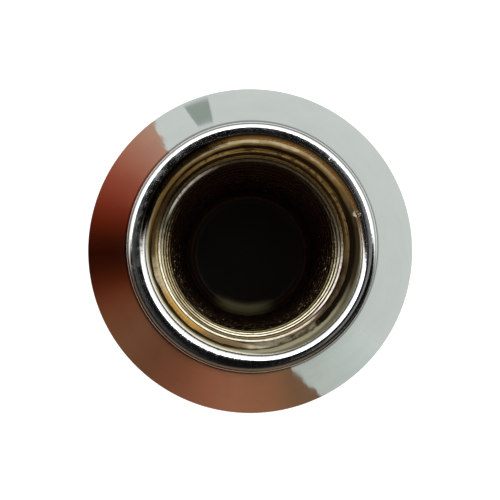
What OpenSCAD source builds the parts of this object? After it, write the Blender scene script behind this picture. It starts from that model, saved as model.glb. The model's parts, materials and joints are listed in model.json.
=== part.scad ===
// Closed-end wheel nut with a bulge: a hexagon for the wrench, a domed closed end, a round
// collar that is wider than the hexagon, a conical seat and a short rounded lip around the
// mouth of a blind threaded hole. It stands on its closed end with the mouth upwards.
// The thread is drawn as a plain hole at its minor diameter.

/* [Overall] */
// Length from the closed end to the top of the lip
nut_length = 35; // [31:0.5:60]

/* [Hexagon] */
// Width across the flats
hex_across_flats = 21; // [18:0.5:21.5]
// How much is turned off each hexagon corner, measured along its radius
corner_break = 0.25; // [0.1:0.05:0.8]

/* [Closed end] */
// Diameter of the flat that the nut stands on
end_flat_d = 10; // [6:0.5:14]
// Solid thickness between the closed end and the floor of the hole
end_wall = 6.5; // [5:0.25:9]

/* [Bulge] */
// Diameter of the bulge, the widest place of the nut
bulge_d = 25.4; // [25:0.1:32]
// Height of the band around the bulge
band_height = 1.4; // [1:0.1:4]
// Angle between the axis and the sloping back of the bulge
back_angle = 36; // [25:1:60]
// Radius that blends the band into the back of the bulge
back_round = 1; // [0.2:0.1:1.2]
// Radius of the edge between the band and the seat
rim_round = 0.2; // [0.05:0.05:0.4]

/* [Seat] */
// Included angle of the conical seat
seat_angle = 60; // [55:1:90]

/* [Lip] */
// Wall of the lip outside the thread's major diameter
lip_wall = 1; // [0.8:0.05:2]
// Height of the lip above the seat
lip_height = 1.7; // [1:0.1:4]
// Radius of the lip's outer edge
lip_outer_round = 0.4; // [0.1:0.05:0.8]
// Radius of the lip's inner edge
lip_inner_round = 0.5; // [0.1:0.05:0.8]

/* [Thread] */
// Major diameter of the thread
thread_d = 14; // [12:0.5:16]
// Pitch of the thread
thread_pitch = 1.5; // [1:0.25:2]
// Included angle of the countersink at the mouth
mouth_angle = 60; // [60:1:120]
// How far the countersink opens past the thread's major diameter, on each side
mouth_over = 0.05; // [0:0.05:0.4]
// Radius around the floor of the hole
floor_round = 0.7; // [0.2:0.1:2]

/* [Hidden] */

// A 60 degree thread profile takes this many pitches off the major diameter
MINOR_PER_PITCH = 1.0825;
// The outer edge's radius takes at most this share of the lip's top, and the inner edge the rest
OUTER_SHARE = 0.7;
// Straight steps in each rounded corner
ROUND_STEPS = 8;
// How far one shape runs past or into another, so that they cut and join cleanly
OVERRUN = 1;
$fn = 96;

thread_r = thread_d / 2;
bore_r = (thread_d - MINOR_PER_PITCH * thread_pitch) / 2;
bulge_r = bulge_d / 2;
hex_flat_r = hex_across_flats / 2;
hex_corner_r = hex_flat_r / cos(30);
turned_r = hex_corner_r - corner_break;

lip_r = thread_r + lip_wall;
mouth_r = thread_r + mouth_over;
mouth_foot_r = bore_r - OVERRUN;
mouth_foot_z = nut_length - (mouth_r - mouth_foot_r) / tan(mouth_angle / 2);

// The two roundings of the lip share the width of its top.
lip_top = lip_r - mouth_r;
outer_round = min(lip_outer_round, lip_top * OUTER_SHARE);
inner_round = min(lip_inner_round, (lip_top - outer_round) / tan((90 - mouth_angle / 2) / 2));

seat_top_z = nut_length - lip_height;
rim_z = seat_top_z - (bulge_r - lip_r) / tan(seat_angle / 2);
band_foot_z = rim_z - band_height;
back_foot_r = hex_flat_r - OVERRUN;
back_foot_z = band_foot_z - (bulge_r - back_foot_r) / tan(back_angle);
hex_top_z = rim_z - band_height / 2;

function unit(v) = v / norm(v);

// Points of the arc of radius r that rounds the corner b between its neighbours a and c
function corner_arc(a, b, c, r) =
    let (
        to_a = unit(a - b),
        to_c = unit(c - b),
        half = acos(to_a * to_c) / 2,
        reach = r / tan(half),
        centre = b + unit(to_a + to_c) * r / sin(half),
        from = b + to_a * reach - centre,
        to = b + to_c * reach - centre,
        start = atan2(from.y, from.x),
        sweep = (atan2(to.y, to.x) - start + 540) % 360 - 180
    )
    [for (i = [0 : ROUND_STEPS])
        let (turn = start + sweep * i / ROUND_STEPS)
        centre + r * [cos(turn), sin(turn)]];

// The outline through [radius, height, rounding] corners, with an arc at each rounded one
function outline(corners) =
    let (
        n = len(corners),
        spot = [for (c = corners) [c.x, c.y]]
    )
    [for (i = [0 : n - 1])
        each corners[i].z > 0
            ? corner_arc(spot[(i + n - 1) % n], spot[i], spot[(i + 1) % n], corners[i].z)
            : [spot[i]]];

module turned(corners) {
    rotate_extrude() polygon(outline(corners));
}

// The hexagon, whose closed end is turned to a dome around its flat
module hex_head() {
    intersection() {
        translate([0, 0, -OVERRUN])
            cylinder(r = hex_corner_r, h = hex_top_z + OVERRUN, $fn = 6);
        turned([
            [0, 0, 0],
            [turned_r, 0, turned_r - end_flat_d / 2],
            [turned_r, hex_top_z + OVERRUN, 0],
            [0, hex_top_z + OVERRUN, 0],
        ]);
    }
}

// The bulge, the seat and the lip, with the countersink of the mouth
module collar() {
    turned([
        [0, back_foot_z, 0],
        [back_foot_r, back_foot_z, 0],
        [bulge_r, band_foot_z, back_round],
        [bulge_r, rim_z, rim_round],
        [lip_r, seat_top_z, 0],
        [lip_r, nut_length, outer_round],
        [mouth_r, nut_length, inner_round],
        [mouth_foot_r, mouth_foot_z, 0],
        [0, mouth_foot_z, 0],
    ]);
}

// The blind hole at the thread's minor diameter
module bore() {
    turned([
        [0, end_wall, 0],
        [bore_r, end_wall, floor_round],
        [bore_r, nut_length + OVERRUN, 0],
        [0, nut_length + OVERRUN, 0],
    ]);
}

module lug_nut() {
    color("silver") difference() {
        union() {
            hex_head();
            collar();
        }
        bore();
    }
}

lug_nut();
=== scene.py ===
# %% [markdown]
# # A chromed wheel nut
#
# This file dresses one closed-end wheel nut for a portrait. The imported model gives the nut's
# overall sizes, and everything else is worked out to fit them. A real nut of this kind is
# forged, turned on a lathe, tapped with a fine thread and plated. The mesh here follows the same
# thoughts: an outline, a turn around the axis, six flats and a helical groove.

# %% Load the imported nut
import json
import math
from collections import namedtuple

import bmesh
import bpy
from mathutils import Matrix, Vector


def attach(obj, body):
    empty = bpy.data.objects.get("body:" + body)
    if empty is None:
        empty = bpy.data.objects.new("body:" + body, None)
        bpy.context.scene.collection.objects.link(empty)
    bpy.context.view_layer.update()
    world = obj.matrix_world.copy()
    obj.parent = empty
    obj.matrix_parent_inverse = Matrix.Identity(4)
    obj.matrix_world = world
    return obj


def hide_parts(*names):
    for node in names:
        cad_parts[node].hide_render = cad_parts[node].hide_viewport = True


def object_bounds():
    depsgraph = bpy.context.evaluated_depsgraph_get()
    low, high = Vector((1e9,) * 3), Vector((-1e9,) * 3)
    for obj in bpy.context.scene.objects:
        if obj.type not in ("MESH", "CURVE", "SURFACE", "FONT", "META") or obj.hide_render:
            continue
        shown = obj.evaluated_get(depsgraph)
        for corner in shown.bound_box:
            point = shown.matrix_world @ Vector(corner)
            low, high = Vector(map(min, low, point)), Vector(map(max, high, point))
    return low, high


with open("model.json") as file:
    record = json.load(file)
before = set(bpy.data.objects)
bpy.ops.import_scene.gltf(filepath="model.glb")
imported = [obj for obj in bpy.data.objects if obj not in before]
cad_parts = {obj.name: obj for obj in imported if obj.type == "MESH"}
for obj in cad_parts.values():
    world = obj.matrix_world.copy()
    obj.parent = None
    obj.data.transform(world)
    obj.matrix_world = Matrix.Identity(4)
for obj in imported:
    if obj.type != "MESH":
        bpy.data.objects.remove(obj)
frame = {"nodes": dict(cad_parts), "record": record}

cad_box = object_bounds()
mounts = {mount["name"]: mount for mount in frame["record"]["mounts"]}
print("nodes:", sorted(frame["nodes"]), "box in metres:", [tuple(corner) for corner in cad_box])

# %% [markdown]
# ## Sizes
#
# A wheel nut is a standard part, so a few numbers give the whole of it: the thread, the width
# across the flats, the bulge and the angle of the seat. The overall sizes and the radius of the
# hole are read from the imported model. The rest are the maker's own numbers, in millimetres
# times MM, because Blender works in metres.

# %% Sizes of the nut
MM = 0.001

nut_length = cad_box[1].z
bulge_r = cad_box[1].x
bore_r = mounts["thread"]["dims"]["r_mm"] * MM

hex_flat_r = 10.5 * MM
corner_loss = 0.25 * MM
hex_turned_r = hex_flat_r / math.cos(math.radians(30)) - corner_loss
end_flat_r = 5 * MM
end_wall = 6.5 * MM
floor_round = 0.7 * MM

band_height = 1.4 * MM
back_angle = math.radians(36)
back_round = 1 * MM
rim_round = 0.2 * MM
seat_half_angle = math.radians(30)

lip_height = 1.7 * MM
lip_r = 8 * MM
lip_outer_round = 0.4 * MM
lip_inner_round = 0.5 * MM
lip_root_round = 0.12 * MM

pitch = 1.5 * MM
thread_r = 7 * MM
mouth_r = 6.95 * MM
mouth_half_angle = math.radians(30)
mouth_shift = 0.1 * MM
mouth_shift_turn = math.radians(20)
mouth_dent = 0.2 * MM
mouth_dent_turn = math.radians(314)
mouth_dent_half = math.radians(55)
first_crest_z = nut_length - 0.975 * MM

dome_r = hex_turned_r - end_flat_r
seat_top_z = nut_length - lip_height
rim_z = seat_top_z - (bulge_r - lip_r) / math.tan(seat_half_angle)
band_foot_z = rim_z - band_height
print(f"rim at {rim_z / MM:.2f} mm, seat up to {seat_top_z / MM:.2f} mm, lip at {nut_length / MM:.2f} mm")

# %% [markdown]
# ## The outline
#
# A lathe part is its outline turned around an axis. The outline could be drawn by hand as a
# curve, but a list of corners with a rounding for each keeps every size by name. Each rounded
# corner becomes an arc. Next to an arc, each straight run gets a row of points close to its
# end: these rows hold the shading, so that a flat or a cone stays straight in the mirror finish.
#
# The rows of the hexagon and of the thread can't be plain points, because they differ from one
# side of the nut to the other. They only carry a zone number and a share, and the node tree
# further down works out where they lie.

# %% Rows along the outline
TURNED, DOME, DOME_EDGE, SIDE, BACK_EDGE, BACK, THREAD = range(7)
Row = namedtuple(
    "Row", "radius height zone share shift low high", defaults=(0.0, 0.0, TURNED, 0.0, 0.0, 0.0, 0.0)
)
ARC_STEPS = 10
HOLD = 0.03


def corner_arc(before, corner, after, radius):
    """Points of the arc that rounds a corner between its two neighbours."""
    to_before = (before - corner).normalized()
    to_after = (after - corner).normalized()
    half = to_before.angle(to_after) / 2
    centre = corner + (to_before + to_after).normalized() * radius / math.sin(half)
    start = corner + to_before * radius / math.tan(half) - centre
    end = corner + to_after * radius / math.tan(half) - centre
    turn = start.angle_signed(end)
    return [centre + Matrix.Rotation(-turn * i / ARC_STEPS, 2) @ start for i in range(ARC_STEPS + 1)]


def outline(corners):
    """Points along (radius, height, rounding) corners, with two holding points on each straight."""
    spots = [Vector((radius, height)) for radius, height, _ in corners]
    legs = [[spots[0]]]
    for i in range(1, len(corners) - 1):
        rounding = corners[i][2]
        legs.append(corner_arc(spots[i - 1], spots[i], spots[i + 1], rounding) if rounding else [spots[i]])
    legs.append([spots[-1]])
    points = list(legs[0])
    for leg_before, leg in zip(legs, legs[1:]):
        start, end = leg_before[-1], leg[0]
        points += [start.lerp(end, HOLD), start.lerp(end, 1 - HOLD)] + leg
    return points


def turned_rows(points):
    return [Row(radius=point.x, height=point.y, shift=mouth_share(point)) for point in points]


def mouth_share(point):
    """1 on the rounded inner edge of the lip, and 0 elsewhere, with a short way in between."""
    if point.y < nut_length - lip_inner_round:
        return 0.0
    land_end = mouth_r + lip_inner_round * math.tan(math.pi / 4 - mouth_half_angle / 2)
    land_start = lip_r - lip_outer_round
    return min(1.0, max(0.0, (land_start - point.x) / (land_start - land_end)))


def shares(zone, steps):
    """Rows of one zone, from just after its start to its end."""
    return [Row(zone=zone, share=i / steps) for i in range(1, steps + 1)]


def straight_shares(zone):
    return [Row(zone=zone, share=share) for share in (HOLD, 0.5, 1 - HOLD, 1)]


# %% [markdown]
# The collar's outline runs from the back of the bulge, over its band and up the seat, around
# the lip and a little way into the mouth. Its first and last legs are longer than needed and
# are cut off again.

# %% The collar's outline
SPARE_LEG = 1 * MM

back_foot_r = hex_flat_r - SPARE_LEG
back_foot_z = band_foot_z - (bulge_r - back_foot_r) / math.tan(back_angle)
mouth_foot_r = bore_r - SPARE_LEG
mouth_foot_z = nut_length - (mouth_r - mouth_foot_r) / math.tan(mouth_half_angle)

collar = outline([
    (back_foot_r, back_foot_z, 0),
    (bulge_r, band_foot_z, back_round),
    (bulge_r, rim_z, rim_round),
    (lip_r, seat_top_z, lip_root_round),
    (lip_r, nut_length, lip_outer_round),
    (mouth_r, nut_length, lip_inner_round),
    (mouth_foot_r, mouth_foot_z, 0),
])
collar = collar[3:-3]
back_end_r = collar[0].x
thread_top = collar[-1].y
print(f"collar: {len(collar)} points, from {back_end_r / MM:.2f} mm at its back")

# %% [markdown]
# The thread starts where the lip's inner rounding ends. A tap cuts it on a real nut. A groove
# could be swept along a helix and cut out here too, but such a cut leaves uneven faces, which
# a shiny wall shows. So the thread is made of rows like the rest. They are counted in whole
# steps of the pitch, because they climb one pitch in a turn and have to meet their neighbours
# at the seam. The steps are shares of a pitch, closer together where the wall bends, and the
# first turns, which are seen best, get more of them than the deep ones.

# %% The rows of the thread
FINE_STEPS = (0, 0.06, 0.11, 0.14, 0.2, 0.3, 0.41, 0.445, 0.5, 0.555, 0.58, 0.62, 0.67, 0.72, 0.77,
              0.81, 0.826, 0.84, 0.855, 0.87, 0.88, 0.9, 0.94)
COARSE_STEPS = (0.12, 0.15, 0.43, 0.57, 0.7, 0.815, 0.84, 0.87, 0.88)
FINE_TURNS = 6
THREAD_TURNS = 16
thread_foot = thread_top - THREAD_TURNS * pitch


def helix_rows(high, low, steps):
    """Rows that climb one pitch in a turn, and that stop at the heights low and high."""
    turns = math.ceil((high - low) / pitch)
    first_turn = math.floor((first_crest_z - high) / pitch)
    row_shares = [
        first_crest_z - (i + step) * pitch
        for i in range(first_turn, first_turn + turns + 3) for step in steps
    ]
    row_shares = [row_share for row_share in row_shares if low - pitch < row_share < high]
    return [
        Row(zone=THREAD, share=row_share, low=low, high=high) for row_share in row_shares + [low - pitch]
    ]


fine_foot = thread_top - FINE_TURNS * pitch
thread_rows = helix_rows(thread_top, fine_foot, FINE_STEPS)
thread_rows += helix_rows(fine_foot, thread_foot, COARSE_STEPS)
print(f"thread: {len(thread_rows)} rows, {thread_top / MM:.2f} mm down to {thread_foot / MM:.2f} mm")

# %% [markdown]
# Now all rows in order: the closed end's flat face, the dome, the side of the hexagon, the back
# of the bulge, the collar, the thread, and last the wall and the floor of the hole. Between the
# dome, the side and the back lie the softened edges, which have rows of their own.

# %% All rows, from the closed end to the floor of the hole
DOME_STEPS = 14
EDGE_STEPS = 6

rows = turned_rows(outline([(0, 0, 0), (end_flat_r, 0, 0)]))
rows += shares(DOME, DOME_STEPS) + shares(DOME_EDGE, EDGE_STEPS) + straight_shares(SIDE)
rows += shares(BACK_EDGE, EDGE_STEPS) + straight_shares(BACK)
rows += turned_rows(collar[1:])
rows += thread_rows
rows += turned_rows(outline([
    (bore_r, thread_foot, 0),
    (bore_r, end_wall, floor_round),
    (0, end_wall, 0),
])[1:])
print(f"{len(rows)} rows in all")

# %% [markdown]
# The rows go into a small mesh of loose points, one point a row, with the zone and the share
# stored on each point as attributes. The node tree reads them from there, row by row.

# %% The outline as points with attributes
outline_mesh = bpy.data.meshes.new("nut_outline")
outline_mesh.from_pydata([(row.radius, 0, row.height) for row in rows], [], [])
zone_values = outline_mesh.attributes.new("zone", "INT", "POINT")
zone_values.data.foreach_set("value", [row.zone for row in rows])
for name in ("share", "shift", "low", "high"):
    values = outline_mesh.attributes.new(name, "FLOAT", "POINT")
    values.data.foreach_set("value", [getattr(row, name) for row in rows])
print("attributes of the outline:", [attribute.name for attribute in outline_mesh.attributes])

# %% [markdown]
# ## Sums inside a node tree
#
# A shape that follows a rule is a set of formulas, and in a node tree each plus or times is a
# Math node. Wiring dozens of them by hand hides the formula. The small class below wraps an
# output socket, so that `a * b + c` adds the Math nodes by itself and the code reads like the
# sum. It serves the geometry tree here and the materials later, since both use the same node.

# %% A number inside a node tree
class Term:
    """A number that flows through a node tree and can be used in a sum."""

    def __init__(self, tree, socket):
        self.tree = tree
        self.socket = socket

    def math(self, operation, *others):
        node = self.tree.nodes.new("ShaderNodeMath")
        node.operation = operation
        for slot, value in zip(node.inputs, (self, *others)):
            feed(self.tree, value, slot)
        return Term(self.tree, node.outputs[0])

    def __add__(self, other):
        return self.math("ADD", other)

    def __sub__(self, other):
        return self.math("SUBTRACT", other)

    def __rsub__(self, other):
        return self.math("MULTIPLY_ADD", -1.0, other)

    def __mul__(self, other):
        return self.math("MULTIPLY", other)

    def __truediv__(self, other):
        return self.math("DIVIDE", other)

    __radd__ = __add__
    __rmul__ = __mul__

    def step(self, start, end, low=0.0, high=1.0, curve="SMOOTHSTEP"):
        """Goes from low to high while this number goes from start to end, and stays there."""
        node = place(self.tree, "ShaderNodeMapRange", {"Value": self}, interpolation_type=curve)
        for name, value in zip(("From Min", "From Max", "To Min", "To Max"), (start, end, low, high)):
            feed(self.tree, value, node.inputs[name])
        return Term(self.tree, node.outputs["Result"])

    def band(self, start, full, fade, end):
        """1 between full and fade, and 0 before start and after end."""
        return self.step(start, full) * self.step(end, fade)

    def near(self, middle, none, full):
        """1 within full of the middle, and 0 from none on."""
        return (self - middle).math("ABSOLUTE").step(none, full)


def feed(tree, value, slot):
    """Links a Term or a socket to an input, or writes a plain value into it."""
    if isinstance(value, Term):
        value = value.socket
    if isinstance(value, bpy.types.NodeSocket):
        tree.links.new(value, slot)
    else:
        slot.default_value = value


def place(tree, kind, inputs=None, **settings):
    """Adds a node, sets its properties and then fills its inputs."""
    node = tree.nodes.new(kind)
    for name, value in settings.items():
        setattr(node, name, value)
    for name, value in (inputs or {}).items():
        feed(tree, value, node.inputs[name])
    return node


# %% [markdown]
# A place has three numbers. Two more helpers join numbers to a vector and take a vector apart,
# since the sums above work on one number at a time.

# %% Vectors inside a node tree
def vector(tree, x, y, z=0.0):
    return place(tree, "ShaderNodeCombineXYZ", {"X": x, "Y": y, "Z": z}).outputs["Vector"]


def parts_of(tree, source):
    """The x, y and z of a vector, as Terms."""
    node = place(tree, "ShaderNodeSeparateXYZ", {"Vector": source})
    return [Term(tree, node.outputs[axis]) for axis in "XYZ"]


# %% [markdown]
# ## The nut's node tree
#
# The tree makes a grid with one column for each direction around the axis and one row for each
# point of the outline, and then moves every grid point to its place. Two things make this
# better than spinning the outline and cutting it afterwards. The arcs where the dome and the
# bulge meet the six flats are worked out for each column, so an edge always runs along a row.
# And the thread's rows climb as they go around, so each crest and each root is a row as well.
#
# The columns are closer together at the six corners, where the surface turns fastest.

# %% Inputs of the tree
CUT_DEPTH = 0.96

nut_sizes = {
    "Columns": 240,
    "Crowding": 0.6,
    "Flat radius": hex_flat_r,
    "Turned radius": hex_turned_r,
    "Corner softness": 0.25 * MM,
    "Dome radius": dome_r,
    "End flat radius": end_flat_r,
    "Edge softness": 0.4 * MM,
    "Bulge radius": bulge_r,
    "Band foot": band_foot_z,
    "Back angle": back_angle,
    "Back end radius": back_end_r,
    "Pitch": pitch,
    "Bore radius": bore_r,
    "Groove depth": (thread_r - bore_r) * CUT_DEPTH,
    "First crest": first_crest_z,
    "Thread top": thread_top,
    "Thread foot": thread_foot,
    "Mouth radius": mouth_r,
    "Mouth height": nut_length,
    "Mouth half angle": mouth_half_angle,
    "Mouth shift": mouth_shift,
    "Shift turn": mouth_shift_turn,
    "Mouth dent": mouth_dent,
    "Dent turn": mouth_dent_turn,
    "Dent half": mouth_dent_half,
    "Burr": 0.04 * MM,
}

nut_tree = bpy.data.node_groups.new("turned_nut", "GeometryNodeTree")
nut_tree.interface.new_socket("Geometry", in_out="INPUT", socket_type="NodeSocketGeometry")
for size_name, size in nut_sizes.items():
    size_kind = "NodeSocketInt" if isinstance(size, int) else "NodeSocketFloat"
    nut_tree.interface.new_socket(size_name, in_out="INPUT", socket_type=size_kind)
nut_tree.interface.new_socket("Material", in_out="INPUT", socket_type="NodeSocketMaterial")
nut_tree.interface.new_socket("Geometry", in_out="OUTPUT", socket_type="NodeSocketGeometry")

tree_in = place(nut_tree, "NodeGroupInput")
size_of = {name: Term(nut_tree, tree_in.outputs[name]) for name in nut_sizes}
print(f"turned_nut takes {len(nut_sizes)} sizes and a material")

# %% [markdown]
# First the grid, and for each of its points the number of its column and of its row. The grid
# counts its points column by column, so a division gives both.

# %% The grid, its columns and its rows
row_count = Term(nut_tree, place(
    nut_tree, "GeometryNodeAttributeDomainSize", {"Geometry": tree_in.outputs["Geometry"]}
).outputs["Point Count"])
grid = place(nut_tree, "GeometryNodeMeshGrid", {
    "Vertices X": size_of["Columns"] + 1,
    "Vertices Y": row_count,
})
point_index = Term(nut_tree, place(nut_tree, "GeometryNodeInputIndex").outputs["Index"])
column = ((point_index + 0.5) / row_count).math("FLOOR")
row_index = point_index - column * row_count


def outline_value(kind, field):
    """The value that a field has at this row's point of the outline."""
    sample = place(nut_tree, "GeometryNodeSampleIndex", {
        "Geometry": tree_in.outputs["Geometry"],
        "Value": field,
        "Index": row_index,
    }, data_type=kind)
    return Term(nut_tree, sample.outputs["Value"])


def stored(name, kind):
    node = place(nut_tree, "GeometryNodeInputNamedAttribute", {"Name": name}, data_type=kind)
    return node.outputs["Attribute"]


zone = outline_value("INT", stored("zone", "INT"))
share = outline_value("FLOAT", stored("share", "FLOAT"))
shift, low, high = (outline_value("FLOAT", stored(name, "FLOAT")) for name in ("shift", "low", "high"))
outline_position = place(nut_tree, "GeometryNodeInputPosition").outputs["Position"]
turned_spot = outline_value("FLOAT_VECTOR", outline_position)

even_turn = column / size_of["Columns"] * math.tau
turn = even_turn - size_of["Crowding"] * (even_turn * 6).math("SINE") / 6
print(f"grid: {nut_sizes['Columns']} columns by {len(rows)} rows")

# %% [markdown]
# Then the hexagon. Its distance from the axis depends only on the direction: it is the flat's
# distance divided by the cosine of the angle from the flat's middle, and at the corners it is
# held back to the turned radius. Smooth Minimum blends the two, as a forging die would.
#
# From that distance follow the height at which the dome meets the flat and the height at which
# the back of the bulge meets it. Each meeting is softened by a short curve with three control
# points, so that it catches the light as a forged edge does.

# %% The hexagon, the dome and the back of the bulge
from_flat = turn.math("FLOORED_MODULO", math.tau / 6) - math.tau / 12
side_r = (size_of["Flat radius"] / from_flat.math("COSINE")).math(
    "SMOOTH_MIN", size_of["Turned radius"], size_of["Corner softness"]
)


def spot(radius, height):
    """A place on the outline: x is the distance from the axis, and z is the height."""
    return vector(nut_tree, radius, 0.0, height)


def between(start, end, amount):
    mix = place(nut_tree, "ShaderNodeMix", {"Factor": amount}, data_type="VECTOR")
    feed(nut_tree, start, mix.inputs[4])
    feed(nut_tree, end, mix.inputs[5])
    return mix.outputs[1]


def soft_edge(start, corner, end):
    """A curve from start to end that is pulled towards the corner."""
    return between(between(start, corner, share), between(corner, end, share), share)


def dome_spot(angle):
    return spot(
        size_of["End flat radius"] + size_of["Dome radius"] * angle.math("SINE"),
        size_of["Dome radius"] * (1 - angle.math("COSINE")),
    )


def back_height(radius):
    return size_of["Band foot"] - (size_of["Bulge radius"] - radius) / size_of["Back angle"].math("TANGENT")


soft = size_of["Edge softness"]
dome_angle = ((side_r - size_of["End flat radius"]) / size_of["Dome radius"]).math("ARCSINE")
dome_end = dome_angle - soft / size_of["Dome radius"]
dome_z = size_of["Dome radius"] * (1 - dome_angle.math("COSINE"))
back_z = back_height(side_r)
side_start = spot(side_r, dome_z + soft)
side_end = spot(side_r, back_z - soft)
back_start_r = side_r + soft * size_of["Back angle"].math("SINE")
back_start = spot(back_start_r, back_height(back_start_r))
back_end = spot(size_of["Back end radius"], back_height(size_of["Back end radius"]))
print(f"hexagon {2 * hex_flat_r / MM:.1f} mm across its flats")

# %% [markdown]
# Last the thread. The row's height climbs with the turn, by one pitch in a full turn, which
# makes a right-hand helix. The groove has 60 degree sides, a flat crest a quarter of a pitch
# wide and a narrower root. The deeper crests have a slightly rolled edge, which catches a line
# of light. The groove begins just below the countersink and fades out above the floor.

# %% The groove of the thread
CREST_FLAT = 1 / 8
ROOT_FLAT = 7 / 16
ROLLED_EDGE = 0.035
ROLLED_DEPTH = 0.18
RUN_OUT_TURNS = 1.5
RUN_IN_TURNS = 0.1

climb = size_of["Pitch"] * turn / math.tau
thread_z = (share + climb).math("MAXIMUM", low).math("MINIMUM", high)
turns_down = (size_of["First crest"] + climb - thread_z) / size_of["Pitch"]
turns_below_mouth = (size_of["First crest"] - thread_z) / size_of["Pitch"]
crest_number = (turns_down + 0.5).math("FLOOR")
from_crest = (turns_down - crest_number).math("ABSOLUTE")
run_out_end = size_of["Thread foot"] + size_of["Pitch"] * RUN_OUT_TURNS
run_in_end = size_of["Thread top"] - size_of["Pitch"] * RUN_IN_TURNS
run_out = thread_z.step(size_of["Thread foot"], run_out_end)
run_in = thread_z.step(size_of["Thread top"], run_in_end)
lead_in = (turns_down - turn / math.tau).step(-0.34, -0.28) * turns_below_mouth.step(-0.20, -0.08)
rolled_edge = turns_below_mouth.step(2.2, 3.2) * from_crest.step(
    CREST_FLAT, CREST_FLAT + ROLLED_EDGE, 0, ROLLED_DEPTH, "LINEAR"
)
flanks = from_crest.step(CREST_FLAT, ROOT_FLAT, curve="LINEAR").math("MAXIMUM", rolled_edge)
groove = flanks * run_out * run_in * lead_in
print(f"groove: {(thread_r - bore_r) * CUT_DEPTH / MM:.2f} mm deep")

# %% [markdown]
# The countersink stands a little off the axis and has one dent, so its radius changes around
# the hole. Each row takes the larger of the two radii, the thread's or the countersink's. A
# little noise leaves the crests torn, as a tap does. Three values are kept for the material:
# where the wall is tapped, how deep the groove is, and how many turns it is from the mouth.

# %% Torn crests and the countersink
BLEND = 0.03 * MM
TEAR_SIZE = 6
TEAR_CLIMB = 1.5

tear_place = vector(
    nut_tree,
    turn.math("COSINE") * TEAR_SIZE,
    turn.math("SINE") * TEAR_SIZE,
    thread_z / size_of["Pitch"] * TEAR_CLIMB,
)
tearing = Term(nut_tree, place(nut_tree, "ShaderNodeTexNoise", {
    "Vector": tear_place, "Scale": 2.5, "Detail": 3.0,
}).outputs[0]) - 0.5
burr = size_of["Burr"] * tearing * (1 - groove) * run_out * run_in
thread_wall_r = size_of["Bore radius"] + size_of["Groove depth"] * groove + burr
dent = (turn - size_of["Dent turn"]).math("COSINE").step(size_of["Dent half"].math("COSINE"), 1.0)
mouth_offset = (
    size_of["Mouth shift"] * (turn - size_of["Shift turn"]).math("COSINE") + size_of["Mouth dent"] * dent
)
mouth_slope = size_of["Mouth half angle"].math("TANGENT")
mouth_wall_r = size_of["Mouth radius"] + mouth_offset - (size_of["Mouth height"] - thread_z) * mouth_slope
thread_spot = spot(thread_wall_r.math("SMOOTH_MAX", mouth_wall_r, BLEND * run_in), thread_z)
in_thread = zone.math("COMPARE", THREAD, 0.5)
thread_masks = {
    "tapped": in_thread * (thread_wall_r - mouth_wall_r).step(-0.02 * MM, 0.02 * MM),
    "groove": in_thread * groove,
    "thread_turn": crest_number - turn / math.tau,
}
print(f"thread M{2 * thread_r / MM:.0f} x {pitch / MM}, kept for the material: {', '.join(thread_masks)}")

# %% [markdown]
# The formulas are ready, and an Index Switch picks the one that belongs to each row's zone. The
# list below has them in the order of the zone numbers.

# %% A formula for each zone
shifted_spot = place(nut_tree, "ShaderNodeVectorMath", {0: turned_spot, 1: spot(mouth_offset * shift, 0.0)})
zone_spots = [
    shifted_spot.outputs["Vector"],
    dome_spot(dome_end * share),
    soft_edge(dome_spot(dome_end), spot(side_r, dome_z), side_start),
    between(side_start, side_end, share),
    soft_edge(side_end, spot(side_r, back_z), back_start),
    between(back_start, back_end, share),
    thread_spot,
]
picker = place(nut_tree, "GeometryNodeIndexSwitch", {"Index": zone}, data_type="VECTOR")
while len(picker.index_switch_items) < len(zone_spots):
    picker.index_switch_items.new()
for i, zone_spot in enumerate(zone_spots):
    feed(nut_tree, zone_spot, picker.inputs[i + 1])
print(len(zone_spots), "zones, each with its own formula")

# %% [markdown]
# The picked place is then turned into its column's direction. A Screw modifier could turn an
# outline as well, but it gives every direction the same outline, and here the hexagon and the
# thread change with it. Merge by Distance closes the seam, the two poles and the rows of the
# thread that pile up at its ends, and the tree ends with the real mesh and its material.

# %% Around the axis, and closed
MERGE_DISTANCE = 0.001 * MM

flat_r, _, flat_z = parts_of(nut_tree, picker.outputs["Output"])
moved = place(nut_tree, "GeometryNodeSetPosition", {
    "Geometry": grid.outputs["Mesh"],
    "Position": vector(nut_tree, flat_r * turn.math("COSINE"), flat_r * turn.math("SINE"), flat_z),
})
marked = moved
for mask_name, mask in thread_masks.items():
    marked = place(nut_tree, "GeometryNodeStoreNamedAttribute", {
        "Geometry": marked.outputs["Geometry"],
        "Name": mask_name,
        "Value": mask,
    }, data_type="FLOAT", domain="POINT")
merged = place(nut_tree, "GeometryNodeMergeByDistance", {
    "Geometry": marked.outputs["Geometry"],
    "Distance": MERGE_DISTANCE,
})
smooth = place(nut_tree, "GeometryNodeSetShadeSmooth", {"Geometry": merged.outputs["Geometry"]})
real = place(nut_tree, "GeometryNodeRealizeInstances", {"Geometry": smooth.outputs["Geometry"]})
painted = place(nut_tree, "GeometryNodeSetMaterial", {
    "Geometry": real.outputs["Geometry"],
    "Material": tree_in.outputs["Material"],
})
place(nut_tree, "NodeGroupOutput", {"Geometry": painted.outputs["Geometry"]})
print(f"nut tree: {len(nut_tree.nodes)} nodes, {len(nut_tree.links)} links")

# %% [markdown]
# ## The plate
#
# Such nuts are plated with bright nickel and a thin skin of chrome. The bath reaches the outside
# well and the hole badly: the countersink and the lip's inner edge have a thin, warm colour, and
# a few turns down the bare steel begins, under a film of oil. All of it is one metal skin, so it is
# one material, whose colour and roughness change with the place. The masks read the position on
# the nut, so that they stay where they are when the nut is turned or put in another scene.
#
# Two effects are needed more than once, each with other values, so they are node groups: the
# fine grooves that a turning tool leaves around the axis, and irregular patches for stains,
# specks, pits and dull spots in the plate.

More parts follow.
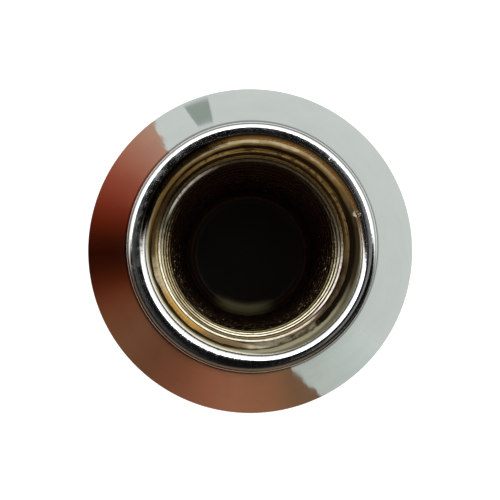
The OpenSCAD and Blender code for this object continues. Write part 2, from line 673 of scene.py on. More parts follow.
# %% Tools for shader groups
def start_group(name, inputs, outputs):
    """An empty shader group with named sockets, and Terms for its inputs."""
    tree = bpy.data.node_groups.new(name, "ShaderNodeTree")
    for socket_name, kind in inputs.items():
        tree.interface.new_socket(socket_name, in_out="INPUT", socket_type=kind)
    for socket_name in outputs:
        tree.interface.new_socket(socket_name, in_out="OUTPUT", socket_type="NodeSocketFloat")
    group_in = place(tree, "NodeGroupInput")
    return tree, {socket_name: Term(tree, group_in.outputs[socket_name]) for socket_name in inputs}


def noise(tree, coordinates, scale, detail=2.0, roughness=0.5):
    node = place(tree, "ShaderNodeTexNoise", {
        "Vector": coordinates, "Scale": scale, "Detail": detail, "Roughness": roughness,
    })
    return Term(tree, node.outputs[0])


# %% [markdown]
# Stains and pits could be painted by hand on an unwrapped nut, but noise that is read at a place
# on the nut needs no unwrapping and never shows a seam. The patches are such noise, cut off at a
# limit. The more cover is asked for, the lower the limit, and the softness says how wide the
# edge of a patch is.

# %% Group: patches
patches, patch_in = start_group("patches", {
    "Coordinates": "NodeSocketVector",
    "Scale": "NodeSocketFloat",
    "Cover": "NodeSocketFloat",
    "Softness": "NodeSocketFloat",
}, ["Mask"])
patch_noise = noise(patches, patch_in["Coordinates"], patch_in["Scale"], 5.0, 0.6)
patch_limit = patch_in["Cover"].step(0, 1, 0.75, 0.25, "LINEAR")
patch_mask = patch_noise.step(patch_limit - patch_in["Softness"], patch_limit + patch_in["Softness"])
place(patches, "NodeGroupOutput", {"Mask": patch_mask})
print("patches:", len(patches.nodes), "nodes")

# %% [markdown]
# The turning marks are noise that is stretched into rings: it is read at a place that moves
# quickly with the distance along the outline and hardly at all around the axis. The marks fade
# and return as they go around, as they do where a tool chatters.

# %% Group: turning marks
turning_marks, mark_in = start_group("turning_marks", {
    "Along": "NodeSocketFloat",
    "Direction": "NodeSocketVector",
    "Spacing": "NodeSocketFloat",
    "Breaks": "NodeSocketFloat",
}, ["Height"])
mark_x, mark_y, _ = parts_of(turning_marks, mark_in["Direction"])
mark_place = vector(
    turning_marks,
    mark_x * mark_in["Breaks"],
    mark_y * mark_in["Breaks"],
    mark_in["Along"] / mark_in["Spacing"],
)
place(turning_marks, "NodeGroupOutput", {"Height": noise(turning_marks, mark_place, 1.0, 3.0, 0.6)})
print("turning_marks:", len(turning_marks.nodes), "nodes")

# %% [markdown]
# The material first works out where it is on the nut: the distance from the axis, the depth
# below the lip and the direction around the axis. Three helpers follow: for a colour as a screen
# shows it, for a layer of paint, and for using one of the shader groups.

# %% The material and its places
def fresh_tree(owner):
    """The node tree of a material or a world, emptied."""
    owner.use_nodes = True
    owner.node_tree.nodes.clear()
    return owner.node_tree


plate = bpy.data.materials.new("bright_plate")
plate_tree = fresh_tree(plate)
position = place(plate_tree, "ShaderNodeTexCoord").outputs["Object"]
place_x, place_y, place_z = parts_of(plate_tree, position)
axis_distance = (place_x * place_x + place_y * place_y).math("SQRT")
depth = nut_length - place_z
around_axis = vector(plate_tree, place_x / axis_distance, place_y / axis_distance)


def colour(red, green, blue):
    """A linear colour from the 0 to 255 values of a screen."""
    parts = [value / 255 for value in (red, green, blue)]
    return [part / 12.92 if part <= 0.04045 else ((part + 0.055) / 1.055) ** 2.4 for part in parts] + [1]


def paint(base, over, mask):
    """Lays one colour over another where the mask is 1."""
    mix = place(plate_tree, "ShaderNodeMix", {"Factor": mask}, data_type="RGBA")
    feed(plate_tree, base, mix.inputs[6])
    feed(plate_tree, over, mix.inputs[7])
    return mix.outputs[2]


def use_group(group, inputs, output):
    node = plate_tree.nodes.new("ShaderNodeGroup")
    node.node_tree = group
    for name, value in inputs.items():
        feed(plate_tree, value, node.inputs[name])
    return Term(plate_tree, node.outputs[output])


print("bright_plate knows its place:", len(plate_tree.nodes), "nodes")

# %% [markdown]
# The zones have soft and uneven edges. One broad noise shifts the depth at which the plate
# thins out, so that the border between two zones wanders around the hole. The depth of the
# groove, which the mesh carries, tells a crest from a root.

# %% Zones of the plate
def mm(*sizes):
    """Sizes in millimetres, as metres."""
    return [size * MM for size in sizes]


def mesh_value(name):
    """A value that the node tree stored on the mesh."""
    node = place(plate_tree, "ShaderNodeAttribute", attribute_name=name)
    return Term(plate_tree, node.outputs["Fac"])


tapped, groove_depth, thread_turn = (mesh_value(name) for name in thread_masks)

unevenness = noise(plate_tree, position, 900.0, 3.0) - 0.5
in_hole = (
    axis_distance.step(*mm(7.8, 7.6)) * depth.step(*mm(0.16, 0.34))
    * place_z.step(end_wall - 0.4 * MM, end_wall - 0.2 * MM)
)
on_lip = (
    axis_distance.step(lip_r + 0.02 * MM, lip_r - 0.02 * MM) * depth.step(*mm(1.2, 0.9))
    * (1 - in_hole)
)
countersink = in_hole * (1 - tapped)
crest = tapped * groove_depth.step(0.24, 0.12)
# The root of the groove is painted dark: partly dirt, partly painted shade in the recess.
root = tapped * groove_depth.step(0.38, 0.52)
# The oil film is real, but it starts higher on the far side of the hole, which paints that side darker as
# shade.
oil_and_shade = in_hole * (depth + unevenness * 2 * MM + place_y * 0.6).step(*mm(7.8, 10))
# The floor of the blind hole is painted dark brown, a painted shade at the bottom of the deep recess.
hole_floor_shade = (
    axis_distance.step(*mm(6.0, 5.8)) * depth.step(*mm(20, 24)) * place_z.step(*mm(0.5, 1.5))
)
print("with its zones:", len(plate_tree.nodes), "nodes")

# %% [markdown]
# Smaller places need masks of their own, and each is a product of simple ones: how far from the
# axis, how deep, which way round. Their edges would be too clean, so a broad noise bends them
# and a fine one makes them ragged. A third noise is read by direction alone, so it gives streaks
# that run straight down the wall.

# %% Ways to say where a place is
def around_spot(radius, turned):
    """The distance from a spot: millimetres from the axis, degrees anticlockwise from +X."""
    angle = math.radians(turned)
    to_x = place_x - radius * math.cos(angle) * MM
    to_y = place_y - radius * math.sin(angle) * MM
    return (to_x * to_x + to_y * to_y).math("SQRT")


ragged = noise(plate_tree, position, 3200.0, 3.0) - 0.5
streak_place = place(plate_tree, "ShaderNodeVectorMath", {
    0: around_axis, 1: (32.0, 32.0, 32.0),
}, operation="MULTIPLY").outputs["Vector"]
streaks = noise(plate_tree, streak_place, 1.0, 3.0, 0.7) - 0.5
angle_of = (-1.0 * place_y).math("ARCTAN2", place_x) * (180 / math.pi) + unevenness * 16
line_depth = depth + unevenness * 0.25 * MM
uneven_radius = axis_distance + unevenness * 0.12 * MM
far_side = place_y.step(*mm(-1, 4))

# %% [markdown]
# Around the mouth, oil has crept into a line along the far half of the countersink, under a
# golden ring, and it darkens the mouth on one side. On another side, an arc of the mouth is
# painted near black as shade. Where the thread starts, the tap has not yet cut, and the wall is
# dark. Angles are degrees clockwise from +X, seen from the mouth.

# %% Places around the mouth
dark_line = line_depth.band(*mm(0.64, 0.76, 0.98, 1.12)) * place_y.step(*mm(-2.5, 1))
gold_ring = (
    line_depth.band(*mm(0.1, 0.24, 0.44, 0.6)) * angle_of.near(-83, 62, 20)
    * axis_distance.step(*mm(7.7, 7.6))
)
inner_edge = far_side * axis_distance.step(*mm(7.26, 7.1)) * depth.step(*mm(3, 2)) * (1 - tapped)
brown_start = uneven_radius.step(*mm(6.96, 6.84)) * angle_of.near(3, 46, 12)
bare_start = (
    uneven_radius.step(*mm(6.72, 6.63)) * depth.step(*mm(1.9, 1.6))
    * angle_of.step(-34, -12) * (angle_of + ragged * 24).step(58, 44)
)
shaded_arc = (
    uneven_radius.band(*mm(6.66, 6.74, 7.15, 7.3)) * depth.step(*mm(1.5, 1.2))
    * angle_of.near(-139, 38, 24)
)
print("with the mouth's places:", len(plate_tree.nodes), "nodes")

# %% [markdown]
# In the thread, the tap scraped one stretch bare and the nickel next to it is golden. One short
# stretch of a crest is painted pale as a highlight. Farther down, a paler patch on one side near
# the floor is a painted reflection, and the crests on the near side carry painted glints. Those
# come from the group of patches, like the stains.

# %% Places in the thread and on the floor
def patchy(scale, cover, softness):
    """Irregular patches all over the nut."""
    return use_group(patches, {
        "Coordinates": position, "Scale": scale, "Cover": cover, "Softness": softness,
    }, "Mask")


scraped = (
    uneven_radius.step(*mm(6.62, 6.5)) * depth.step(*mm(2.0, 1.7))
    * (angle_of + ragged * 30).step(44, 52) * angle_of.step(104, 78)
)
gold_stretch = tapped * depth.band(*mm(0.6, 0.7, 1.35, 1.6)) * angle_of.near(132, 48, 34)
highlight_turn = (
    tapped * thread_turn.step(2.54, 2.58) * (thread_turn + ragged * 0.05).step(2.70, 2.64)
    * axis_distance.step(*mm(6.46, 6.38))
)
floor_reflection = (
    in_hole * depth.step(*mm(23, 26)) * axis_distance.step(*mm(4.9, 5.9)) * angle_of.near(96, 38, 10)
)
crest_glints = (
    tapped * groove_depth.step(0.3, 0.1) * depth.band(*mm(9, 11, 14, 20)) * place_y.step(*mm(1, -1))
    * patchy(5200.0, 0.26, 0.04)
)
print("with the thread's places:", len(plate_tree.nodes), "nodes")

# %% [markdown]
# Outside, the foot of the lip, where it meets the seat, is painted darker as shade in the crease,
# and the lip's outer edge on the near side is painted darker as shade too. The lip also has one
# small lump of plate, and the edge of the mouth has one nick, and both are painted pale as
# highlights.

# %% Places on the lip and the seat
lip_root_shade = (
    (axis_distance - place_y * 0.012).step(*mm(8.63, 8.5)) * depth.band(*mm(1.0, 1.2, 3.5, 4))
)
near_edge_shade = (
    axis_distance.band(*mm(7.84, 7.95, 8.3, 8.5)) * depth.step(*mm(2.2, 2))
    * place_y.step(*mm(1, -2.5))
)
nodule_and_highlight = around_spot(7.47, 47.7).step(*mm(0.17, 0.1)) * on_lip
nick_and_highlight = (
    around_spot(7.0, 17.7).step(*mm(0.26, 0.14)) * depth.step(*mm(1.0, 0.8))
    * (depth + ragged * 0.5 * MM).step(*mm(0.02, 0.1))
)
print("with the lip's places:", len(plate_tree.nodes), "nodes")

# %% [markdown]
# The thread has clean and stained stretches, because the tap tore the first turns and the bath
# ran down it unevenly. Its colours also hold painted highlights on some turns and painted shade
# on others. Two colour ramps run along the thread, one for its crests and one for its flanks.
# Their scale is the number of turns from the mouth, which the node tree stored.

# %% Colours along the thread
RAMP_TURNS = 6.0
crest_shades = [
    (0.0, 52, 38, 22), (0.13, 58, 42, 24), (0.16, 196, 184, 156), (0.21, 176, 160, 124),
    (0.26, 108, 90, 56), (0.34, 118, 96, 54), (0.42, 190, 164, 108), (0.5, 150, 130, 86),
    (0.6, 110, 86, 50), (1.0, 130, 102, 64), (1.02, 42, 32, 16), (1.12, 42, 32, 16),
    (1.15, 206, 192, 172), (1.3, 230, 226, 206), (1.45, 244, 236, 208), (1.56, 190, 178, 148),
    (1.7, 220, 192, 130), (1.95, 200, 174, 120), (2.03, 230, 218, 208), (2.11, 230, 218, 208),
    (2.14, 120, 106, 76), (2.36, 112, 98, 68), (2.44, 196, 184, 150), (2.7, 200, 190, 164),
    (3.3, 234, 224, 198), (3.36, 150, 136, 102), (3.6, 140, 126, 94), (4.1, 196, 186, 156),
    (4.3, 206, 196, 168), (4.4, 140, 126, 94), (5.1, 110, 98, 68), (6.0, 60, 52, 34),
]
flank_shades = [
    (0.0, 46, 34, 16), (0.13, 50, 36, 18), (0.16, 156, 140, 104), (0.21, 120, 100, 62),
    (0.3, 64, 46, 18), (0.4, 88, 66, 28), (0.48, 70, 50, 18), (0.6, 100, 74, 36),
    (0.7, 250, 206, 124), (0.92, 240, 196, 120), (1.0, 150, 118, 76), (1.02, 46, 34, 16),
    (1.12, 46, 34, 16), (1.16, 84, 68, 40), (1.22, 120, 104, 70), (1.3, 108, 86, 44),
    (1.36, 128, 98, 44), (1.42, 196, 162, 94), (1.47, 130, 104, 56), (1.52, 74, 52, 18),
    (1.6, 90, 68, 34), (1.7, 250, 212, 132), (1.98, 230, 192, 120), (2.01, 58, 44, 20),
    (2.13, 58, 44, 20), (2.2, 96, 82, 52), (3.0, 96, 82, 50), (5.0, 84, 72, 42),
]


def ramp_colour(tree, position, stops):
    """A colour that changes along a number, through (place from 0 to 1, colour) stops."""
    ramp = place(tree, "ShaderNodeValToRGB", {"Fac": position})
    elements = ramp.color_ramp.elements
    while len(elements) < len(stops):
        elements.new(1.0)
    for element, (stop, _) in zip(elements, stops):
        element.position = stop
    for element, (_, shade) in zip(elements, stops):
        element.color = shade
    return ramp.outputs["Color"]


def thread_colour(shades):
    """The colour along the thread, through (turns, red, green, blue) shades."""
    stops = [(turns / RAMP_TURNS, colour(*shade)) for turns, *shade in shades]
    return ramp_colour(plate_tree, thread_turn / RAMP_TURNS, stops)


print(f"{len(crest_shades)} shades along the crests, {len(flank_shades)} along the flanks")

# %% [markdown]
# Now the plate's colour. It needs a few patterns first: the lines that the tap left, stains,
# pits, dull spots, and a gold that turns paler along its stretch of the thread.

# %% Patterns in the colour
def turned_marks(along, spacing, breaks):
    """Turning marks that run around the axis."""
    return use_group(turning_marks, {
        "Along": along, "Direction": around_axis, "Spacing": spacing, "Breaks": breaks,
    }, "Height")


groove_lines = turned_marks(axis_distance + place_z * 0.5, 0.09 * MM, 1.6)
stains = patchy(1400.0, 0.5, 0.12)
pits = patchy(4200.0, 0.28, 0.03)
dull_spots = patchy(380.0, 0.45, 0.2)
gold_shade = paint(colour(112, 84, 42), colour(190, 142, 54), angle_of.step(112, 130))
gold_shade = paint(gold_shade, colour(190, 176, 138), angle_of.step(146, 160))
print("with its patterns:", len(plate_tree.nodes), "nodes")

# %% [markdown]
# The colour is laid on as a painter would, from the bright plate up. Each layer is a colour and
# the mask of the place where it shows, and a later layer covers an earlier one.

# %% The plate's colour, layer by layer
outside_layers = [
    # The lip's plate is painted brighter than the rest, a painted highlight that whitens the arcs it
    # reflects.
    ((236, 239, 237), on_lip),
    ((230, 191, 127), inner_edge),
    ((104, 108, 102), lip_root_shade),
    ((112, 105, 92), near_edge_shade),
]
countersink_layers = [
    ((146, 141, 112), countersink),
    ((214, 206, 170), countersink * uneven_radius.step(*mm(6.87, 6.77))),
    ((62, 45, 18), countersink * uneven_radius.step(*mm(6.66, 6.57))),
    ((150, 116, 60), countersink * far_side),
    ((232, 214, 170), gold_ring * (0.45 + 0.55 * stains)),
    ((60, 44, 20), countersink * brown_start * 0.95),
    ((46, 28, 8), countersink * dark_line),
    ((14, 11, 6), shaded_arc * (1 - tapped) * 0.92),
]
thread_layers = [
    (thread_colour(flank_shades), tapped),
    ((66, 44, 18), tapped * (1 - crest) * groove_lines.step(0.5, 0.6) * 0.75),
    ((40, 29, 12), root),
    (thread_colour(crest_shades), crest),
    ((84, 66, 36), tapped * ragged.step(0.02, 0.12) * (0.7 - 0.5 * crest)),
    ((206, 194, 164), in_hole * scraped * (0.1 + 0.8 * stains)),
    ((30, 22, 9), in_hole * bare_start),
    (gold_shade, gold_stretch * streaks.step(-0.25, 0.15, 0.3, 0.9)),
    ((252, 240, 226), highlight_turn * ragged.step(-0.08, 0.05, 0.2, 1.0)),
]
last_layers = [
    ((74, 48, 30), oil_and_shade * 0.95),
    ((34, 28, 17), hole_floor_shade),
    ((130, 124, 82), floor_reflection),
    ((226, 212, 172), crest_glints),
    ((250, 250, 246), nodule_and_highlight),
    ((236, 230, 206), nick_and_highlight),
]
layers = outside_layers + countersink_layers + thread_layers + last_layers

plate_colour = paint(colour(197, 206, 200), colour(192, 200, 195), dull_spots)
for shade, mask in layers:
    over = colour(*shade) if isinstance(shade, tuple) else shade
    plate_colour = paint(plate_colour, over, mask)
print(len(layers), "layers of colour over the bright plate")

# %% [markdown]
# Bright plate is a mirror with a very slight haze. The lip is duller on one side, where it was
# handled, and the film in the hole is rougher still. A stain isn't metal, so the stained parts
# of the hole get less of a metal's shine, and so do the painted highlight in the thread and the
# painted reflection near the floor, so that their painted colour shows. The relief adds up several
# layers: a slow swell of the plate, a finer ripple and grain, turning marks around the axis, pits
# in the lip, the lump and the nick, and last the notches along the lip's two edges and the lip's
# slight crown.

# %% Roughness and relief
MICRON = 0.001 * MM
LIP_MIDDLE = 7.45 * MM

lip_marks = turned_marks(axis_distance, 0.035 * MM, 1.6)
seat_marks = turned_marks(axis_distance * 0.5 + place_z * 0.8, 0.12 * MM, 3.0)

lip_haze = on_lip * place_x.step(*mm(-1, -7)) * place_y.step(*mm(-4, -1)) * stains
plate_roughness = (
    0.05 + dull_spots * 0.03 + on_lip * 0.04 * lip_marks + lip_haze * 0.13 + in_hole * 0.3 - crest * 0.08
)
plate_metal = (
    1 - countersink * (0.55 + 0.35 * gold_ring) - tapped * (1 - crest) * 0.3 - oil_and_shade * 0.1 - floor_reflection * 0.8
)
plate_metal = plate_metal * (1 - 0.9 * highlight_turn - 0.6 * gold_stretch)

swell = noise(plate_tree, position, 160.0, 2.0)
ripple = noise(plate_tree, position, 700.0, 2.0)
grain = noise(plate_tree, position, 3000.0, 2.0)
from_lip_middle = axis_distance - LIP_MIDDLE
relief = (
    swell * 8.0
    + ripple * (1.0 + 6.0 * on_lip)
    + grain * (0.1 + 2.5 * on_lip + in_hole * 10.0 + tapped * depth.step(*mm(5, 8)) * 40.0)
    + seat_marks * 0.25 * (1 - in_hole) * (1 - on_lip)
    + lip_marks * 0.9 * on_lip
    - pits * 0.6 * on_lip
    + nodule_and_highlight * 60.0
    - nick_and_highlight * 50.0
) * MICRON
relief = relief + on_lip * (
    streaks * (from_lip_middle.math("ABSOLUTE") - 0.1 * MM).math("MAXIMUM", 0.0)
    * place_y.math("ABSOLUTE").step(1.5 * MM, 5.5 * MM, 0.01, 0.16)
    - from_lip_middle * from_lip_middle * 160.0
)
bump = place(plate_tree, "ShaderNodeBump", {"Height": relief, "Strength": 1.0, "Distance": 1.0})

skin = place(plate_tree, "ShaderNodeBsdfPrincipled", {
    "Base Color": plate_colour,
    "Metallic": plate_metal,
    "Roughness": plate_roughness,
    "Normal": bump.outputs["Normal"],
})
place(plate_tree, "ShaderNodeOutputMaterial", {"Surface": skin.outputs["BSDF"]})
print("bright_plate:", len(plate_tree.nodes), "nodes")

# %% [markdown]
# ## Making the nut
#
# The outline's points get the tree as a modifier. Every input is set through its identifier,
# before the object is evaluated for the first time. The evaluated result is then copied to a
# plain mesh, and the outline and its modifier are thrown away. The plain mesh stands for the
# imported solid, which has no thread and no softened edges.

# %% Evaluate the tree into a plain mesh
def evaluated_mesh(source, tree, values, name):
    """Runs a node tree on a mesh and returns what it makes as a plain mesh."""
    holder = bpy.data.objects.new("holder", source)
    bpy.context.scene.collection.objects.link(holder)
    modifier = holder.modifiers.new("Shape", "NODES")
    modifier.node_group = tree
    for item in tree.interface.items_tree:
        if item.in_out == "INPUT" and item.name in values:
            modifier[item.identifier] = values[item.name]
    evaluated = holder.evaluated_get(bpy.context.evaluated_depsgraph_get())
    mesh = bpy.data.meshes.new_from_object(evaluated)
    mesh.name = name
    bpy.data.objects.remove(holder)
    return mesh


nut_mesh = evaluated_mesh(outline_mesh, nut_tree, {**nut_sizes, "Material": plate}, "wheel_nut")
nut = bpy.data.objects.new("wheel_nut", nut_mesh)
bpy.context.scene.collection.objects.link(nut)
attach(nut, "root")
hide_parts("lug_nut")

check = bmesh.new()
check.from_mesh(nut_mesh)
open_edges = sum(1 for edge in check.edges if not edge.is_manifold)
triangles = sum(len(face.verts) - 2 for face in check.faces)
volume = check.calc_volume(signed=True) / MM ** 3
print(f"wheel_nut: {len(nut_mesh.vertices)} points, {triangles} triangles, {open_edges} open edges")
print(f"volume {volume:.0f} cubic mm")
check.free()

# %% [markdown]
# ## The studio
#
# Chrome has no colour of its own: it shows its surroundings. So most of the look of this nut
# comes from what stands around it. The floor is white and runs far out. Camera rays get a
# little extra light from it, so that it reads as paper white, while it keeps the nut's shadow.

# %% Floor
def stage_object(name, mesh, material, glossy_only=False):
    """Adds a piece of the studio, which isn't part of the nut."""
    mesh.materials.append(material)
    piece = bpy.data.objects.new(name, mesh)
    bpy.context.scene.collection.objects.link(piece)
    if glossy_only:
        for kind in ("camera", "diffuse", "transmission", "volume_scatter", "shadow"):
            setattr(piece, f"visible_{kind}", False)
    return piece


FLOOR_HALF = 3.0
FLOOR_CAMERA_GLOW = 0.45
FLOOR_COLOUR = (0.8, 0.8, 0.8, 1)
floor_mesh = bpy.data.meshes.new("floor")
floor_mesh.from_pydata(
    [(x, y, 0) for x, y in ((-1, -1), (1, -1), (1, 1), (-1, 1))], [], [(0, 1, 2, 3)]
)
floor_mesh.transform(Matrix.Scale(FLOOR_HALF, 4))

floor_paint = bpy.data.materials.new("floor_white")
floor_tree = fresh_tree(floor_paint)
floor_rays = place(floor_tree, "ShaderNodeLightPath")
floor_glow = Term(floor_tree, floor_rays.outputs["Is Camera Ray"]) * FLOOR_CAMERA_GLOW
floor_diffuse = place(floor_tree, "ShaderNodeBsdfDiffuse", {"Color": FLOOR_COLOUR})
floor_emission = place(floor_tree, "ShaderNodeEmission", {"Strength": floor_glow})
floor_sum = place(floor_tree, "ShaderNodeAddShader")
feed(floor_tree, floor_diffuse.outputs[0], floor_sum.inputs[0])
feed(floor_tree, floor_emission.outputs[0], floor_sum.inputs[1])
place(floor_tree, "ShaderNodeOutputMaterial", {"Surface": floor_sum.outputs[0]})
stage_object("floor", floor_mesh, floor_paint)
print(f"floor: {2 * FLOOR_HALF:.0f} m wide")

# %% [markdown]
# One large soft lamp hangs above the nut, a little behind it. It lights the floor and throws the
# soft shadow. Glossy rays don't see it, so it leaves no bright disk in the plate.

# %% Lamp
LAMP_WIDTH = 0.5
LAMP_POWER = 1.6
LAMP_PLACE = Vector((0.03, 0.08, 0.55))

lamp_data = bpy.data.lights.new("soft_lamp", "AREA")
lamp_data.shape = "DISK"
lamp_data.size = LAMP_WIDTH
lamp_data.energy = LAMP_POWER
lamp = bpy.data.objects.new("soft_lamp", lamp_data)
lamp.location = LAMP_PLACE
lamp.rotation_euler = LAMP_PLACE.to_track_quat("Z", "Y").to_euler()
lamp.visible_glossy = False
bpy.context.scene.collection.objects.link(lamp)
print(f"soft_lamp: {LAMP_WIDTH} m wide, {LAMP_POWER} W, {LAMP_PLACE.z:.2f} m up")

# %% [markdown]
# The mirror finish shows the studio itself: a bright wall and ceiling on the far side, a dim and
# warm room on the near side, and a dark hood straight above, where a camera would hang. A round
# picture of a room could stand for it, but here each place is a formula of the ray's direction,
# so it can be moved or softened by one number. First come the masks of the places.

# %% World: places in the studio
world = bpy.data.worlds.new("studio")
bpy.context.scene.world = world
world.cycles.sampling_method = "NONE"
world_tree = fresh_tree(world)

sky_place = place(world_tree, "ShaderNodeTexCoord")
sky_x, sky_y, sky_z = parts_of(world_tree, sky_place.outputs["Generated"])
sky_side = sky_y / (1.0001 - sky_z * sky_z).math("SQRT")
bright_side = (sky_side + (1 - sky_z) * 0.4 - 0.1).step(0.02, 0.22)
horizon = sky_z.step(0.0, 0.35)
ceiling = sky_z.step(0.66, 0.78)
hood = (sky_x * -0.03 + sky_y * -0.02 + sky_z).step(0.90, 0.95)
hood_side = (sky_x * sky_x * 36.0).math("MINIMUM", 1.0)
warm_side = (sky_y * -1.0 - sky_x * 0.3).step(0.1, 0.7) * sky_z.step(0.95, 0.0)
print("places in the studio:", len(world_tree.nodes), "nodes")

# %% [markdown]
# Then each place gets its light. Only glossy rays see this studio. Camera rays see plain white,
# and everything else gets an even white light.

# %% World: light of each place
FILL_LIGHT = 0.62
WALL_LIGHT = 0.4
UPPER_WALL_LIGHT = 0.9
CEILING_LIGHT = 1.5
ROOM_LIGHT = 0.004
WARM_LIGHT = 0.18
HOOD_LIGHT = 0.005
HOOD_SIDE_LIGHT = 0.05
HOOD_RIGHT_LIGHT = 0.6
WARM_TINT = (1.0, 0.58, 0.24, 1)

sky_rays = place(world_tree, "ShaderNodeLightPath")
glossy_share = Term(world_tree, sky_rays.outputs["Is Glossy Ray"])
camera_share = Term(world_tree, sky_rays.outputs["Is Camera Ray"])
hood_right_light = HOOD_RIGHT_LIGHT * sky_x.math("MAXIMUM", 0.0)
hood_light = HOOD_LIGHT + hood_side * hood_side * (HOOD_SIDE_LIGHT + hood_right_light)
wall_light = WALL_LIGHT + horizon * UPPER_WALL_LIGHT + ceiling * CEILING_LIGHT
room_light = ROOM_LIGHT + warm_side * WARM_LIGHT
studio_light = (bright_side * wall_light + room_light) * (1 - hood) + hood * hood_light
mirror_light = FILL_LIGHT + glossy_share * (studio_light - FILL_LIGHT)
world_tint = place(world_tree, "ShaderNodeMix", {
    "Factor": glossy_share * warm_side * (1 - hood),
}, data_type="RGBA")
feed(world_tree, (1, 1, 1, 1), world_tint.inputs[6])
feed(world_tree, WARM_TINT, world_tint.inputs[7])
background = place(world_tree, "ShaderNodeBackground", {
    "Color": world_tint.outputs[2],
    "Strength": mirror_light * (1 - camera_share) + camera_share,
})
place(world_tree, "ShaderNodeOutputWorld", {"Surface": background.outputs[0]})
print("studio:", len(world_tree.nodes), "nodes")

# %% [markdown]
# The seat is a steep mirror cone. Seen from above, it shows a ring of the floor around the nut.
# A brown card with uneven shades and torn ends lies there on one side, and its reflection gives
# the seat its warm part. A pale card under its edge is its soft shadow, and a small grey card
# makes the one dark patch on the other side. Two wide cards farther out stand for the rest of
# the room, which only the lip's rounded edge shows. The colours could be painted on the seat
# itself, but then they would turn with the nut, which a reflection doesn't do. The cards are
# seen by glossy rays alone, so the floor itself stays white.

# %% Shades of the cards
PLATE_SHINE = 0.62
card_shades = [
    (65, 108, 80, 62), (72, 112, 79, 58), (80, 130, 85, 62), (96, 138, 88, 65), (106, 133, 80, 60),
    (110, 128, 76, 57), (120, 112, 66, 46), (132, 99, 60, 42), (144, 105, 67, 47),
    (156, 102, 57, 37), (163, 90, 42, 24), (168, 72, 26, 12), (174, 50, 15, 5), (180, 38, 9, 2),
    (186, 56, 16, 6), (192, 84, 26, 12), (198, 106, 38, 23), (204, 124, 53, 36), (210, 136, 66, 50),
    (216, 149, 87, 70), (228, 164, 118, 101), (231, 166, 126, 110),
]
pale_shades = [
    (34, 191, 192, 190), (48, 179, 182, 180), (60, 172, 174, 171), (76, 172, 174, 171),
]
room_shades = [
    (0, 140, 148, 143), (12, 100, 106, 100), (24, 30, 31, 28), (34, 20, 20, 18), (52, 20, 20, 18),
    (62, 50, 50, 45), (72, 92, 80, 64), (90, 70, 52, 35), (120, 58, 34, 20), (150, 46, 25, 13),
    (172, 50, 30, 19), (186, 90, 80, 76), (225, 110, 106, 103), (270, 108, 112, 108),
    (300, 92, 96, 90), (359, 138, 146, 141),
]
grey_shades = [(0, 134, 142, 137), (359, 134, 142, 137)]


def card_paint(name, shades):
    """A glow that changes around the axis, through (angle, red, green, blue) shades."""
    material = bpy.data.materials.new(name)
    tree = fresh_tree(material)
    x, y, _ = parts_of(tree, place(tree, "ShaderNodeTexCoord").outputs["Object"])
    turn_share = (-1.0 * y).math("ARCTAN2", x).math("FLOORED_MODULO", math.tau) / math.tau
    stops = [
        (angle / 360, [part / PLATE_SHINE for part in colour(*shade)[:3]] + [1])
        for angle, *shade in shades
    ]
    shade_around = ramp_colour(tree, turn_share, stops)
    glow = place(tree, "ShaderNodeEmission", {"Color": shade_around, "Strength": 1.0})
    place(tree, "ShaderNodeOutputMaterial", {"Surface": glow.outputs[0]})
    return material


# %% [markdown]
# A card is a ring sector of small faces. Its two ends can lean, so that they cross the ring at a
# slant, and they can be torn, which moves their points back and forth by a few degrees. The
# angles count clockwise from +X, seen from above.

# %% Reflection cards
CARD_INNER = 34 * MM
CARD_OUTER = 48 * MM
CARD_HEIGHT = 0.2 * MM
ROOM_INNER = 62 * MM
ROOM_OUTER = 2900 * MM
CARD_STEPS = 90
CARD_RINGS = 20

Card = namedtuple(
    "Card", "name start end inner outer shades lean torn height", defaults=((0, 0), 0.0, CARD_HEIGHT)
)
cards = [
    Card("pale_card", 35, 75, CARD_INNER, CARD_OUTER, pale_shades, height=CARD_HEIGHT / 2),
    Card("brown_card", 64.4, 232.6, CARD_INNER, CARD_OUTER, card_shades, (-6.6, 3.5), 1.3),
    Card("room_card", 0, 360, ROOM_INNER, ROOM_OUTER, room_shades),
    Card("near_room_card", 26, 200, CARD_OUTER, ROOM_INNER, room_shades),
    Card("grey_card", 246.8, 254.7, 38.4 * MM, 43.0 * MM, grey_shades, (-0.8, 0.5), 0.4),
]


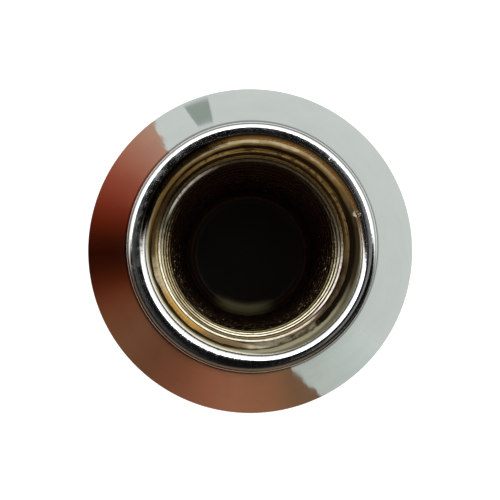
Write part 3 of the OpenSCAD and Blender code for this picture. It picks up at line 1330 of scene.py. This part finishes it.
def card_point(card, i, j):
    along = i / CARD_STEPS
    across = j / CARD_RINGS
    lean = card.lean[0] * (1 - along) + card.lean[1] * along
    turned = card.start + (card.end - card.start) * along + (1 - 2 * across) * lean
    if i in (0, CARD_STEPS):
        turned += card.torn * math.sin(j * 2.4) * math.sin(j * 5.1 + i)
    radius = card.inner + (card.outer - card.inner) * across
    angle = -math.radians(turned)
    return radius * math.cos(angle), radius * math.sin(angle), 0


def card_mesh(card):
    row = CARD_RINGS + 1
    points = [card_point(card, i, j) for i in range(CARD_STEPS + 1) for j in range(row)]
    faces = [
        (i * row + j, i * row + j + 1, (i + 1) * row + j + 1, (i + 1) * row + j)
        for i in range(CARD_STEPS) for j in range(CARD_RINGS)
    ]
    mesh = bpy.data.meshes.new(card.name)
    mesh.from_pydata(points, [], faces)
    return mesh


for card in cards:
    card_material = card_paint(f"{card.name}_paint", card.shades)
    piece = stage_object(card.name, card_mesh(card), card_material, glossy_only=True)
    piece.location.z = card.height
print("cards:", [card.name for card in cards])

# %% [markdown]
# ## The camera
#
# The nut is seen from straight above its mouth, from close by, so that the far end of the hole
# looks much smaller than the mouth. The camera stands a little to one side and is tilted back.

# %% Camera
CAMERA_PLACE = Vector((-0.56, -1.20, 76.47)) * MM
CAMERA_LOOK = Vector((0.01005, 0.0236, -1)).normalized()
CAMERA_LENS = 47.2

camera_data = bpy.data.cameras.new("camera")
camera_data.lens = CAMERA_LENS
camera_data.sensor_width = 36
camera_data.clip_start = 1 * MM
camera_data.clip_end = 20
camera = bpy.data.objects.new("camera", camera_data)
camera_right = CAMERA_LOOK.cross(Vector((0, 1, 0))).normalized()
camera_up = camera_right.cross(CAMERA_LOOK)
camera.matrix_world = Matrix.Translation(CAMERA_PLACE) @ Matrix(
    (camera_right, camera_up, -CAMERA_LOOK)
).transposed().to_4x4()
bpy.context.scene.collection.objects.link(camera)
bpy.context.scene.camera = camera
bpy.context.scene.view_settings.view_transform = "Standard"
print(f"camera: {CAMERA_LENS} mm lens, {(CAMERA_PLACE.z - nut_length) / MM:.1f} mm above the lip")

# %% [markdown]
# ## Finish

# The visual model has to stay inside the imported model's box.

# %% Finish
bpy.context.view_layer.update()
